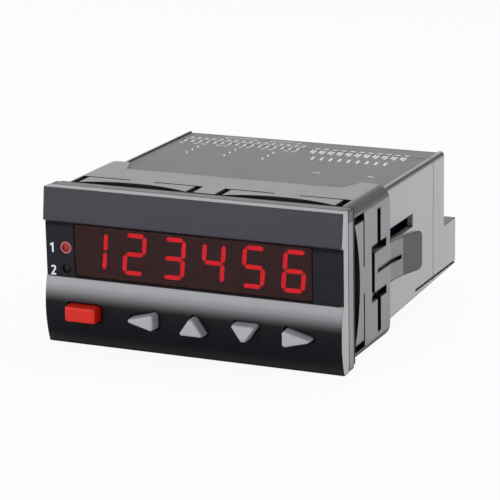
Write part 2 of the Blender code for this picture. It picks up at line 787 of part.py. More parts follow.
def underside_cutter(name):
    """Takes off what lies below the sloped underside, behind the clamp frame."""
    low = HOUSING_BOTTOM - HOUSING_WALL
    end = REAR_REACH + CUT_BEYOND
    outline = [
        (behind(UNDERSIDE_START), low),
        (behind(end), low),
        (behind(end), underside(end)),
        (behind(UNDERSIDE_START), underside(UNDERSIDE_START)),
    ]
    return prism(name, outline, "X", -HOUSING_WIDTH, HOUSING_WIDTH)


def sloped_floor():
    """Floor of the housing over its sloped underside, before the underside is cut."""
    start = UNDERSIDE_START - HOUSING_WALL
    low = HOUSING_BOTTOM + HOUSING_WALL / 2
    outline = [
        (behind(start), low),
        (behind(HOUSING_LENGTH), low),
        (behind(HOUSING_LENGTH), underside(HOUSING_LENGTH) + HOUSING_WALL),
        (behind(start), underside(start) + HOUSING_WALL),
    ]
    half = (INNER_WIDTH + HOUSING_WALL) / 2
    return prism("sloped_floor", outline, "X", -half, half)


def board_rails():
    """Rails on both inner walls, one below and one above the edge of each board."""
    wall = INNER_WIDTH / 2
    bounds = []
    for side in (-1, 1):
        x = sorted((side * (wall - RAIL_DEPTH), side * (wall + HOUSING_WALL / 2)))
        for board in (MAIN_BOARD_Z, RELAY_BOARD_Z):
            for z in (board - FIT - RAIL_HEIGHT, board + BOARD_THICKNESS + FIT):
                low = (x[0], behind(RAIL_START), z)
                high = (x[1], behind(HOUSING_LENGTH - SPIGOT_LENGTH - FIT), z + RAIL_HEIGHT)
                bounds.append((low, high))
    return boxes("board_rails", bounds)


def housing_shell():
    front = ahead(FLANGE_THICKNESS / 2)
    shell = prism("housing_shell", housing_section(), "Y", front, behind(HOUSING_LENGTH))
    flange = rounded_rectangle(BEZEL_WIDTH, BEZEL_HEIGHT, FLANGE_RADIUS)
    join(shell, prism("flange", flange, "Y", ahead(FLANGE_THICKNESS), ahead(0)))
    collar = rounded_rectangle(COLLAR_WIDTH, COLLAR_HEIGHT, HOUSING_RADIUS)
    join(shell, prism("cut_out_collar", collar, "Y", front, behind(COLLAR_LENGTH)))
    inside = rounded_rectangle(INNER_WIDTH, INNER_HEIGHT, HOUSING_RADIUS / 2, steps=2)
    beyond = HOUSING_LENGTH + CUT_BEYOND
    cut(shell, prism("housing_inside", inside, "Y", ahead(FLANGE_THICKNESS * 2), behind(beyond)))
    cut(shell, top_trough("housing_top_trough", BEAD_START, beyond))
    join(shell, sloped_floor())
    cut(shell, underside_cutter("housing_underside"))
    join(shell, board_rails())
    wall = (INNER_WIDTH / 2 - HOUSING_WALL, HOUSING_WIDTH / 2 + HOUSING_WALL)
    cut(shell, side_pairs("side_pockets", POCKET_START, POCKET_END, POCKET_INNER, POCKET_OUTER, *wall))
    cut(shell, ratchet_cutter())
    cut(shell, seam_cutter("housing_seam", SEAM_START, beyond))
    return paint(shell, HOUSING_GREY, 0.5)


def panel_gasket():
    gasket = prism(
        "panel_gasket",
        rounded_rectangle(GASKET_WIDTH, GASKET_HEIGHT, FLANGE_RADIUS),
        "Y",
        behind(FIT),
        behind(FIT + GASKET_THICKNESS),
    )
    inner = rounded_rectangle(COLLAR_WIDTH + 2 * FIT, COLLAR_HEIGHT + 2 * FIT, HOUSING_RADIUS)
    cut(gasket, prism("gasket_inside", inner, "Y", behind(-GASKET_THICKNESS), behind(3 * GASKET_THICKNESS)))
    return paint(gasket, BLACK, 0.8)


def bow_outline(centre, half):
    """Outline, along a frame side and Y, of what is taken off the front edge between two finger tips."""
    front = behind(FRAME_FRONT)
    bow = arc_through(
        (centre + half, front), (centre, front + FINGER_BOW), (centre - half, front), BOW_STEPS
    )
    far = front - FINGER_BOW
    return [(centre - half, far), (centre + half, far)] + bow


def finger_cuts(centre, half):
    """Bow, two slots and two tip gaps that free a pair of spring fingers from the frame's front edge."""
    outlines = [bow_outline(centre, half)]
    slot_start = behind(FINGER_REAR)
    slot_end = slot_start + FINGER_SLOT
    front = behind(FRAME_FRONT - FINGER_BOW)
    for side in (-1, 1):
        root = centre + side * FINGER_LAND
        tip = centre + side * half
        far = tip + side * FINGER_TIP_GAP
        slot = sorted((root, far - side * FINGER_SLOT / 2))
        outlines.append(corners((slot[0], slot_start), (slot[1], slot_end)))
        gap = sorted((tip, far))
        outlines.append(corners((gap[0], front), (gap[1], slot_end)))
    return outlines


def frame_rear_cutter(side):
    """Takes back the rear edge of the top or bottom wall between the two corner stretches."""
    rear = behind(FRAME_REACH + CUT_BEYOND)
    middle = behind(FRAME_MIDDLE_REACH)
    outline = [
        (-FRAME_STEP_INNER, middle),
        (FRAME_STEP_INNER, middle),
        (FRAME_STEP_OUTER, behind(FRAME_REACH)),
        (FRAME_STEP_OUTER, rear),
        (-FRAME_STEP_OUTER, rear),
        (-FRAME_STEP_OUTER, behind(FRAME_REACH)),
    ]
    surface = MID_Z + side * FRAME_HEIGHT / 2
    wall = (FRAME_HEIGHT - HOUSING_HEIGHT) / 2 + FIT
    z = sorted((surface - side * wall, surface + side * wall))
    name = "frame_top_rear" if side > 0 else "frame_bottom_rear"
    return prism(name, outline, "Z", z[0], z[1])


def latch_cuts():
    """Slots in Y and Z that leave the latch lever hanging on an upper and a lower torsion bar."""
    front = behind(LATCH_FRONT)
    front_end = front + LATCH_SLOT
    rear = behind(LATCH_REAR)
    inner = LATCH_HALF_HEIGHT
    outer = inner + LATCH_SLOT
    bar = behind(TORSION_SLOT_START)
    bar_end = bar + TORSION_SLOT_WIDTH
    upper = [
        (bar, MID_Z + outer),
        (bar, MID_Z + TORSION_SLOT_TOP),
        (bar_end, MID_Z + TORSION_SLOT_TOP),
        (bar_end, MID_Z + outer),
        (rear, MID_Z + outer),
        (rear, MID_Z + inner),
        (front_end, MID_Z + inner),
    ]
    lower = [(y, 2 * MID_Z - z) for y, z in reversed(upper)]
    return upper + lower + [(front, MID_Z - outer), (front, MID_Z + outer)]


def lever_outline(side):
    """The lever's outline in X and Y, flared away from the housing in two facets behind the frame."""
    outer = FRAME_WIDTH / 2
    knee = behind(FRAME_REACH + LEVER_KNEE_SETBACK)
    second = knee + LEVER_FIRST_LENGTH
    end = second + LEVER_SECOND_LENGTH
    first_x = outer + LEVER_FIRST_FLARE
    end_x = first_x + LEVER_SECOND_FLARE
    start = behind(LATCH_REAR) - LEVER_THICKNESS
    outside = [(outer, start), (outer, knee), (first_x, second), (end_x, end)]
    inside = [(x - LEVER_THICKNESS, y) for x, y in reversed(outside)]
    points = [(side * x, y) for x, y in outside + inside]
    return points if side > 0 else list(reversed(points))


def lever_end_trim(side):
    """Cutter that rounds the two rear corners of a lever, seen from the side."""
    knee = behind(FRAME_REACH + LEVER_KNEE_SETBACK)
    end = knee + LEVER_FIRST_LENGTH + LEVER_SECOND_LENGTH
    half = LATCH_HALF_HEIGHT
    radius = LEVER_END_RADIUS
    outlines = []
    for flip in (-1, 1):
        arc = []
        for step in range(LEVER_END_STEPS + 1):
            angle = math.pi / 2 * step / LEVER_END_STEPS
            y = end - radius + radius * math.sin(angle)
            z = half - radius + radius * math.cos(angle)
            arc.append((y, MID_Z + flip * z))
        corner = (end + radius, MID_Z + flip * (half - radius))
        outline = arc + [corner, (end + radius, MID_Z + flip * (half + radius))]
        outline.append((end - radius, MID_Z + flip * (half + radius)))
        outlines.append(outline)
    inside = FRAME_WIDTH / 2 - 2 * LEVER_THICKNESS
    outside = FRAME_WIDTH / 2 + LEVER_FIRST_FLARE + LEVER_SECOND_FLARE + LEVER_THICKNESS
    x = sorted((side * inside, side * outside))
    name = "lever_end_right" if side > 0 else "lever_end_left"
    return prisms(name, outlines, "X", x[0], x[1])


def clamp_frame():
    """The slide-on clamp frame: spring fingers in front, a torsion-bar latch lever on each side."""
    frame = prism(
        "clamp_frame",
        rounded_rectangle(FRAME_WIDTH, FRAME_HEIGHT, FRAME_RADIUS, steps=6),
        "Y",
        behind(FRAME_FRONT),
        behind(FRAME_REACH),
    )
    inner = rounded_rectangle(
        HOUSING_WIDTH + 2 * FIT, HOUSING_HEIGHT + 2 * FIT, HOUSING_RADIUS + FIT, steps=3
    )
    cut(frame, prism("frame_inside", inner, "Y", behind(0), behind(FRAME_REACH + CUT_BEYOND)))
    cut(frame, frame_rear_cutter(1))
    cut(frame, frame_rear_cutter(-1))
    high = MID_Z + FRAME_HEIGHT
    for index, centre in enumerate((-TOP_FINGER_X, TOP_FINGER_X)):
        for number, outline in enumerate(finger_cuts(centre, TOP_FINGER_HALF)):
            cut(frame, prism(f"finger_cut_{index}_{number}", outline, "Z", -MID_Z, high))
    for number, outline in enumerate(finger_cuts(MID_Z, SIDE_FINGER_HALF)):
        turned = [(y, z) for z, y in outline]
        cut(frame, prism(f"side_finger_cut_{number}", turned, "X", -FRAME_WIDTH, FRAME_WIDTH))
    cut(frame, prism("latch_cut", latch_cuts(), "X", -FRAME_WIDTH, FRAME_WIDTH))
    for side in (-1, 1):
        add_lever(frame, side)
    return paint(frame, FRAME_GREY, 0.45)


def add_lever(frame, side):
    word = "right" if side > 0 else "left"
    low = MID_Z - LATCH_HALF_HEIGHT
    high = MID_Z + LATCH_HALF_HEIGHT
    lever = prism(f"lever_{word}", lever_outline(side), "Z", low, high)
    cut(lever, lever_end_trim(side))
    join(frame, lever)
    outer = FRAME_WIDTH / 2
    x = sorted((side * (outer - LEVER_GROOVE_DEPTH), side * (outer + LEVER_FIRST_FLARE)))
    groove_low = (x[0], behind(LATCH_FRONT + 2 * LATCH_SLOT), MID_Z - LEVER_GROOVE_WIDTH / 2)
    groove_high = (x[1], behind(FRAME_REACH + LEVER_FIRST_LENGTH), MID_Z + LEVER_GROOVE_WIDTH / 2)
    cut(frame, box(f"lever_groove_{word}", groove_low, groove_high))


def rear_cover():
    """Rear cover flush with the housing, with a deeper lower shroud round the lower terminals."""
    start = behind(SHELL_END)
    end = behind(COVER_END)
    cover = prism("rear_cover", housing_section(), "Y", start, end)
    centre = (0.0, HOUSING_BOTTOM + SHROUD_HEIGHT / 2)
    shroud = rounded_rectangle(HOUSING_WIDTH, SHROUD_HEIGHT, SHROUD_RADIUS, centre, 2)
    join(cover, prism("terminal_shroud", shroud, "Y", end - REAR_PLATE / 2, behind(REAR_REACH)))
    spigot_width = INNER_WIDTH - 2 * FIT
    spigot_top = INNER_CEILING - FIT
    spigot_height = spigot_top - cover_floor()
    centre = (0.0, spigot_top - spigot_height / 2)
    spigot = rounded_rectangle(spigot_width, spigot_height, HOUSING_RADIUS / 2, centre, 2)
    join(cover, prism("cover_spigot", spigot, "Y", start - SPIGOT_LENGTH, start + REAR_PLATE))
    hollow_width = spigot_width - 2 * SPIGOT_WALL
    hollow_height = spigot_height - 2 * SPIGOT_WALL
    hollow = rounded_rectangle(hollow_width, hollow_height, HOUSING_RADIUS / 2, centre, 2)
    cut(cover, prism("cover_hollow", hollow, "Y", start - 2 * SPIGOT_LENGTH, end - REAR_PLATE))
    cut(cover, lower_window())
    cut(cover, upper_window())
    cut(cover, underside_cutter("cover_underside"))
    cut(cover, top_trough("cover_top_trough", HOUSING_LENGTH / 2, COVER_END + CUT_BEYOND))
    cut(cover, seam_cutter("cover_seam", HOUSING_LENGTH / 2, REAR_REACH + CUT_BEYOND))
    return paint(cover, HOUSING_GREY, 0.5)


def lower_block_bounds():
    """Half width, lowest and highest Z of the lower terminal block."""
    top = TERMINAL_SHELF_Z - HOUSING_WALL
    return INNER_WIDTH / 2 - FIT, cover_floor() + FIT, top - FIT


def lower_window():
    half, low, high = lower_block_bounds()
    near = behind(COVER_END - 2 * REAR_PLATE)
    far = behind(REAR_REACH + CUT_BEYOND)
    return box("lower_window", (-half - FIT, near, low - FIT), (half + FIT, far, high + FIT))


def upper_block_half():
    return UPPER_POLES * POLE_PITCH / 2


def upper_window():
    half = upper_block_half() + FIT
    near = behind(COVER_END - 2 * REAR_PLATE)
    far = behind(COVER_END + REAR_PLATE)
    low = (-half, near, UPPER_BLOCK_LOW - FIT)
    return box("upper_window", low, (half, far, UPPER_BLOCK_HIGH + FIT))


def terminal_block(name, poles, low, high, rear):
    """Terminal body with a wire entry and a screw hole for each pole, open at its rear face."""
    block = box(name, low, high)
    middle = (low[2] + high[2]) / 2
    first = -(poles - 1) / 2 * POLE_PITCH
    entries = []
    holes = []
    for index in range(poles):
        x = first + index * POLE_PITCH
        half = WIRE_ENTRY_WIDTH / 2
        z = middle + WIRE_OFFSET
        tall = WIRE_ENTRY_HEIGHT / 2
        entries.append(corners((x - half, z - tall), (x + half, z + tall)))
        holes.append(circle(SCREW_RADIUS + FIT, SCREW_SIDES, (x, middle + SCREW_OFFSET)))
    beyond = rear + WIRE_ENTRY_DEPTH
    cut(block, prisms(name + "_entries", entries, "Y", rear - WIRE_ENTRY_DEPTH, beyond))
    hole_depth = SCREW_RECESS + SCREW_LENGTH + FIT
    cut(block, prisms(name + "_holes", holes, "Y", rear - hole_depth, beyond))
    return paint(block, TERMINAL_GREY, 0.5)


def terminals():
    half, low_z, high_z = lower_block_bounds()
    lower_rear = behind(REAR_REACH - LOWER_BLOCK_INSET)
    low = (-half, lower_rear - LOWER_BLOCK_DEPTH, low_z)
    terminal_block("lower_terminal_block", LOWER_POLES, low, (half, lower_rear, high_z), lower_rear)
    upper_rear = behind(COVER_END + UPPER_BLOCK_PROUD)
    half = upper_block_half()
    low = (-half, upper_rear - UPPER_BLOCK_LENGTH, UPPER_BLOCK_LOW)
    high = (half, upper_rear, UPPER_BLOCK_HIGH)
    terminal_block("upper_terminal_block", UPPER_POLES, low, high, upper_rear)
    mesh = screw_mesh()
    rows = (
        ("lower", LOWER_POLES, lower_rear, (low_z + high_z) / 2),
        ("upper", UPPER_POLES, upper_rear, (UPPER_BLOCK_LOW + UPPER_BLOCK_HIGH) / 2),
    )
    for word, poles, rear, middle in rows:
        for index in range(poles):
            screw = bpy.data.objects.new(f"{word}_terminal_screw_{index + 1}", mesh.copy())
            bpy.context.collection.objects.link(screw)
            x = (index - (poles - 1) / 2) * POLE_PITCH
            screw.location = (x, rear - SCREW_RECESS, middle + SCREW_OFFSET)
            paint(screw, STEEL, 0.3, 1.0)


def screw_mesh():
    """A slotted terminal screw whose head lies at Y = 0 and faces the rear."""
    blank = prism("screw_blank", circle(SCREW_RADIUS, SCREW_SIDES), "Y", -SCREW_LENGTH, 0.0)
    half = SCREW_SLOT / 2
    low = (-2 * SCREW_RADIUS, -SCREW_SLOT_DEPTH, -half)
    cut(blank, box("screw_slot", low, (2 * SCREW_RADIUS, SCREW_SLOT_DEPTH, half)))
    mesh = baked_mesh(blank)
    blank.hide_render = True
    blank.display_type = "WIRE"
    return mesh


def boards():
    half = INNER_WIDTH / 2 - BOARD_SIDE_GAP
    lower_rear = REAR_REACH - LOWER_BLOCK_INSET - LOWER_BLOCK_DEPTH - FIT
    lower_half = half - SPIGOT_WALL - FIT
    main = box(
        "main_board",
        (-half, behind(BOARD_START), MAIN_BOARD_Z),
        (half, behind(HOUSING_LENGTH - SPIGOT_LENGTH - FIT), MAIN_BOARD_Z + BOARD_THICKNESS),
    )
    tongue = box(
        "main_board_tongue",
        (-lower_half, behind(HOUSING_LENGTH / 2), MAIN_BOARD_Z),
        (lower_half, behind(lower_rear), MAIN_BOARD_Z + BOARD_THICKNESS),
    )
    join(main, tongue)
    paint(main, BOARD_GREEN, 0.45)
    upper_rear = UPPER_BLOCK_FRONT - FIT
    upper_half = upper_block_half()
    relay = box(
        "relay_board",
        (-half, behind(RELAY_BOARD_START), RELAY_BOARD_Z),
        (half, behind(HOUSING_LENGTH - SPIGOT_LENGTH - FIT), RELAY_BOARD_Z + BOARD_THICKNESS),
    )
    upper_tongue = box(
        "relay_board_tongue",
        (-upper_half, behind(HOUSING_LENGTH / 2), RELAY_BOARD_Z),
        (upper_half, behind(upper_rear), RELAY_BOARD_Z + BOARD_THICKNESS),
    )
    join(relay, upper_tongue)
    paint(relay, BOARD_GREEN, 0.45)


def standing_box(name, size, x, depth, base):
    """A component of this size that stands on a surface at height base."""
    low = (x - size.x / 2, behind(depth - size.y / 2), base)
    return box(name, low, (x + size.x / 2, behind(depth + size.y / 2), base + size.z))


def components():
    base = MAIN_BOARD_Z + BOARD_THICKNESS + FIT
    core = standing_box("transformer", CORE_SIZE, CORE_CENTRE_X, CORE_CENTRE_DEPTH, base)
    gap = (CORE_SIZE.z - WINDING_SIZE.z) / 2
    join(core, standing_box("winding", WINDING_SIZE, CORE_CENTRE_X, CORE_CENTRE_DEPTH, base + gap))
    paint(core, STEEL, 0.5, 0.6)
    for index, x in enumerate(RELAY_X):
        relay = standing_box(f"relay_{index + 1}", RELAY_SIZE, x, RELAY_DEPTH, base)
        paint(relay, RELAY_BLUE, 0.4)
    for index, x in enumerate(CAPACITOR_X):
        outline = circle(CAPACITOR_RADIUS, CAPACITOR_SIDES, (x, behind(CAPACITOR_DEPTH)))
        can = prism(f"capacitor_{index + 1}", outline, "Z", base, base + CAPACITOR_HEIGHT)
        paint(smooth_round(can), BLACK, 0.3)
    header_depth = DISPLAY_BOARD_REAR + FIT + HEADER_SIZE.y / 2
    paint(standing_box("board_header", HEADER_SIZE, 0.0, header_depth, base), BLACK, 0.5)
    link = LINK_SIZE.copy()
    link.z = RELAY_BOARD_Z - FIT - base
    paint(standing_box("board_link", link, LINK_X, LINK_DEPTH, base), BLACK, 0.5)


def main():
    clear_scene()
    front_cap()
    display_window()
    keys()
    key_mat()
    digits()
    status_leds()
    display_board()
    housing_shell()
    panel_gasket()
    clamp_frame()
    rear_cover()
    terminals()
    boards()
    components()


main()
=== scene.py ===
"""The looks of the panel counter: materials, lit display, lamps, printed marks, light and camera.

Sizes are in metres in the frame's own axes: X to the right, Y to the rear and Z up.
"""

import json
import math

import bmesh
import bpy
from mathutils import Matrix, Vector

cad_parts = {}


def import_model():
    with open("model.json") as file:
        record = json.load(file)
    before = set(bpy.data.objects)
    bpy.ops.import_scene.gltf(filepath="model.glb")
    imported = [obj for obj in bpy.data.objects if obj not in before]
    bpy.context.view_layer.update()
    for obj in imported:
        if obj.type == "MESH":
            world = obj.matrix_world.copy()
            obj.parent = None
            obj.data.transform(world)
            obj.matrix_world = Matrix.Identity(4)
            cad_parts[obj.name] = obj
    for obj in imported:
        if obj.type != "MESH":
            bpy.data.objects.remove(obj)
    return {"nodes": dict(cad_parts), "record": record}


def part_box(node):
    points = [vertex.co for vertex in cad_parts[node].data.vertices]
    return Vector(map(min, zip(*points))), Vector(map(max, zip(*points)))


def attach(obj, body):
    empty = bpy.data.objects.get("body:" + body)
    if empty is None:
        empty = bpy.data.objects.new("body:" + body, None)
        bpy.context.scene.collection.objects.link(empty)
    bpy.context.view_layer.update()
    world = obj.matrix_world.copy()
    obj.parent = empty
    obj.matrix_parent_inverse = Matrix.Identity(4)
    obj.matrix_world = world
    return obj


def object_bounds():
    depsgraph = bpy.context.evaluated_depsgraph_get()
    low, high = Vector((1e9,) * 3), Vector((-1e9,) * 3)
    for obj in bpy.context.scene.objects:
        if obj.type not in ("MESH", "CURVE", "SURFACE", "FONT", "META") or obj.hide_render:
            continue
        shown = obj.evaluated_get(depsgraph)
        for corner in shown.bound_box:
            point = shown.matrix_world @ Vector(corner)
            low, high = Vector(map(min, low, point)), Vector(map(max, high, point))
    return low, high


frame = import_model()
CAD_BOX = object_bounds()
NODES = frame["nodes"]
MM = 0.001

# Camera, fitted to the photograph: its distance and focal length are real ones
CAMERA_AZIMUTH = math.radians(24.567)
CAMERA_ELEVATION = math.radians(15.458)
CAMERA_ROLL = math.radians(-1.104)
CAMERA_DISTANCE = 0.70535
CAMERA_LENS_MM = 166.51
CAMERA_AIM = (0.0021, 0.030, -0.0005)
CAMERA_CLIP = (0.01, 20.0)
SENSOR_MM = 36.0

# Lamps: direction from the object's middle, distance, width and height, watts
LAMPS = {
    "key_lamp": ((0.90, 0.20, 0.26), 0.80, (0.40, 0.40), 3.2),
    "top_lamp": ((0.0, 0.35, 1.0), 0.80, (0.40, 0.40), 1.3),
    "front_lamp": ((-0.40, -0.90, 0.22), 0.90, (0.60, 0.34), 3.4),
    "left_lamp": ((-0.90, 0.20, 0.25), 1.00, (0.50, 0.50), 2.4),
}
ROOM_LIGHT = 0.36
ROOM_SEEN = 1.0
FLOOR_SIZE = 8.0
FLOOR_DROP = 0.0002
FLOOR_WHITE = 0.92

# Places that are read from the frame
GASKET_GAP = 0.0003
SEAT_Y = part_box("panel_gasket")[0].y - GASKET_GAP
MID_Z = (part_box("panel_gasket")[0].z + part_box("panel_gasket")[1].z) / 2
BEZEL_HALF_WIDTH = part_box("front_cap")[1].x
BEZEL_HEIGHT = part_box("front_cap")[1].z
TOP_BAND_HEIGHT = 0.0104
WINDOW_BAND_HEIGHT = 0.0169
BAND_HIGH = BEZEL_HEIGHT - TOP_BAND_HEIGHT
BAND_LOW = BAND_HIGH - WINDOW_BAND_HEIGHT
WINDOW_BAND_Y = SEAT_Y - 0.0070
FLANGE_STEP = 0.0028
HOUSING_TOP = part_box("housing_shell")[1].z - FLANGE_STEP

# Status lamps and the rings round them
LED_RADIUS = 0.00145
RING_INSET = 0.00012
RING_OUTSET = 0.00036
RING_SHOULDER = 0.00004
RING_CROWN = 0.00007
RING_SIDES = 32

# The display's segments, as on the blocks behind them: side, level and whether the bar stands
SEGMENT_WIDTH = 0.0013
SEGMENT_HALF = SEGMENT_WIDTH / 2
DIGIT_HALF = ((0.0074 - SEGMENT_WIDTH) / 2, (0.0128 - SEGMENT_WIDTH) / 2)
SEGMENT_GAP = 0.00022
SEGMENT_LEAN = math.tan(math.radians(5.5))
SEGMENT_FILM = 0.00006
SEGMENTS = {
    "a": (-1, 1, False), "g": (-1, 0, False), "d": (-1, -1, False),
    "f": (-1, 0, True), "e": (-1, -1, True), "b": (1, 0, True), "c": (1, -1, True),
}
SHOWN = ("bc", "abged", "abgcd", "fgbc", "afgcd", "afgedc")

# Numbers beside the lamps: outlines and strokes in mm about their centres, centres in X and Z
INK_LIFT = 0.00002
INK_FILM = 0.00003
ONE_OUTLINE = (
    (0.40, -1.5), (0.40, 1.5), (0.0, 1.5), (-0.75, 1.0), (-0.75, 0.45), (-0.16, 0.80), (-0.16, -1.5),
)
TWO_BOWL_WIDE, TWO_BOWL_TALL, TWO_BOWL_RISE = 0.62, 0.60, 0.66
TWO_BOWL_ANGLES = range(165, -31, -15)
TWO_FOOT = ((-0.58, -1.25), (0.85, -1.25))
TWO_STROKE = 0.52
ONE_CENTRE = (-0.0458, 0.0294)
TWO_CENTRE = (-0.0457, 0.0224)

# Wiring print on the housing's top: how many terminals, the first one's X and their pitch in mm
LEFT_TERMINALS, LEFT_START, LEFT_PITCH = 16, -40.5, 2.65
RIGHT_TERMINALS, RIGHT_START, RIGHT_PITCH = 11, 5.2, 3.05
PRINT_LIFT = 0.00001
PRINT_FILM = 0.00002

# Its marks: points as X from a terminal and depth behind the seat, then the line's width, in mm
TERMINAL_BOX = (((-0.7, 76.8), (0.7, 76.8), (0.7, 79.2), (-0.7, 79.2)), 0.42)
LEFT_LEAD = (((0.0, 75.5), (0.4, 72.2)), 0.60)
LEFT_DASH = (((-0.6, 70.6), (0.9, 70.6)), 0.65)
LEFT_SLANTS = tuple((((-0.5, depth), (0.7, depth - 2.4)), 0.45) for depth in (68.0, 63.8, 59.6))
RIGHT_MARKS = (
    (((-0.8, 76.8), (0.8, 76.8)), 0.90),
    (((-0.6, 74.8), (-0.2, 71.2)), 0.75),
    (((0.6, 74.4), (0.9, 70.0)), 0.65),
)
RIGHT_TAIL = (((0.2, 66.0), (0.8, 62.2)), 0.85)
BRACKETS = (
    (((-29.0, 80.6), (-29.0, 82.2), (-18.5, 82.2), (-18.5, 80.6)), 0.36),
    (((-13.0, 80.6), (-13.0, 82.2), (-3.0, 82.2), (-3.0, 80.6)), 0.36),
)
SMALL_MARKS = (
    (((16.2, 46.2), (17.0, 46.6), (18.8, 46.3)), 0.50),
    (((33.8, 47.6), (35.0, 47.0), (36.0, 47.4)), 0.60),
)


class Finish:
    """A procedural material under construction."""

    def __init__(self, name, gloss=0.3):
        self.material = bpy.data.materials.new(name)
        self.material.use_nodes = True
        self.nodes = self.material.node_tree.nodes
        self.links = self.material.node_tree.links
        self.shader = self.nodes["Principled BSDF"]
        self.shader.inputs["Specular IOR Level"].default_value = gloss
        self.place = self.add("ShaderNodeTexCoord").outputs["Object"]

    def add(self, kind, **settings):
        made = self.nodes.new(kind)
        for key, value in settings.items():
            setattr(made, key, value)
        return made

    def feed(self, socket, value):
        """Link a socket, or set it to a value or an opaque colour."""
        if isinstance(value, bpy.types.NodeSocket):
            self.links.new(value, socket)
        elif isinstance(value, tuple) and len(socket.default_value) == 4:
            socket.default_value = (*value, 1.0)
        else:
            socket.default_value = value

    def math(self, operation, first, second=0.0, clamp=False):
        made = self.add("ShaderNodeMath", operation=operation, use_clamp=clamp)
        self.feed(made.inputs[0], first)
        self.feed(made.inputs[1], second)
        return made.outputs[0]

    def product(self, first, *others):
        for other in others:
            first = self.math("MULTIPLY", first, other)
        return first

    def magnitude(self, value):
        return self.math("ABSOLUTE", value)

    def loss(self, mask, amount):
        """A factor of 1 that falls by an amount where a mask is 1."""
        return self.math("SUBTRACT", 1.0, self.product(mask, amount))

    def ramp(self, value, low, high, at_low=0.0, at_high=1.0):
        """A soft step of a value between two limits."""
        made = self.add("ShaderNodeMapRange", interpolation_type="SMOOTHSTEP")
        for socket, given in zip(made.inputs, (value, low, high, at_low, at_high)):
            self.feed(socket, given)
        return made.outputs[0]

    def mixed(self, factor, first, second):
        made = self.add("ShaderNodeMix", data_type="RGBA")
        self.feed(made.inputs[0], factor)
        self.feed(made.inputs[6], first)
        self.feed(made.inputs[7], second)
        return made.outputs[2]

    def scaled(self, colour, factor):
        made = self.add("ShaderNodeVectorMath", operation="SCALE")
        self.feed(made.inputs[0], colour)
        self.feed(made.inputs["Scale"], factor)
        return made.outputs[0]

    def parts(self, vector):
        """A vector's X, Y and Z."""
        made = self.add("ShaderNodeSeparateXYZ")
        self.feed(made.inputs[0], vector)
        return made.outputs[:3]

    def facing(self):
        """X, Y and Z of the surface's own direction."""
        return self.parts(self.add("ShaderNodeTexCoord").outputs["Normal"])

    def noise(self, size, detail=2.0, stretch=None):
        made = self.add("ShaderNodeTexNoise")
        made.inputs["Scale"].default_value = 1.0 / size
        made.inputs["Detail"].default_value = detail
        place = self.place
        if stretch:
            turned = self.add("ShaderNodeVectorMath", operation="MULTIPLY")
            self.feed(turned.inputs[0], place)
            turned.inputs[1].default_value = stretch
            place = turned.outputs[0]
        self.feed(made.inputs["Vector"], place)
        return made.outputs[0]

    def drift(self, noise, amount):
        """Noise about 0, scaled to an amount."""
        return self.product(self.math("SUBTRACT", noise, 0.5), amount)

    def soft_edges(self, radius):
        """The surface's direction, rounded over at its edges."""
        made = self.add("ShaderNodeBevel", samples=6)
        made.inputs["Radius"].default_value = radius
        return made.outputs[0]

    def painted_crevice_shade(self, reach, low, high, darkest):
        """Painted shade: 1 on open faces, falling to the darkest value in slots narrower than the reach.
        """
        made = self.add("ShaderNodeAmbientOcclusion", samples=8)
        made.inputs["Distance"].default_value = reach
        return self.ramp(made.outputs["AO"], low, high, darkest, 1.0)

    def tone(self, broad_size, broad, fine_size, fine):
        """A factor about 1 that carries the colour's variation."""
        slow = self.drift(self.noise(broad_size, 3.0), broad)
        quick = self.drift(self.noise(fine_size), fine)
        return self.math("ADD", self.math("ADD", slow, quick), 1.0)

    def surface(self, colour, roughness, wander, grain, relief, edge, stretch=None):
        """Colour, varied roughness, grain in relief and softened edges on the shader."""
        self.feed(self.shader.inputs["Base Color"], colour)
        drift = self.drift(self.noise(0.006, 3.0), wander)
        self.feed(self.shader.inputs["Roughness"], self.math("ADD", roughness, drift, clamp=True))
        bump = self.add("ShaderNodeBump")
        bump.inputs["Distance"].default_value = relief
        self.feed(bump.inputs["Height"], self.noise(grain, 3.0, stretch))
        self.feed(bump.inputs["Normal"], self.soft_edges(edge))
        self.feed(self.shader.inputs["Normal"], bump.outputs[0])
        return self.material

    def glow(self, colour, strength):
        self.feed(self.shader.inputs["Emission Color"], colour)
        self.shader.inputs["Emission Strength"].default_value = strength

    def blend(self, factor, first, second):
        """The material's output becomes a mix of two shaders."""
        made = self.add("ShaderNodeMixShader")
        self.feed(made.inputs[0], factor)
        self.links.new(first.outputs[0], made.inputs[1])
        self.links.new(second.outputs[0], made.inputs[2])
        self.links.new(made.outputs[0], self.nodes["Material Output"].inputs["Surface"])


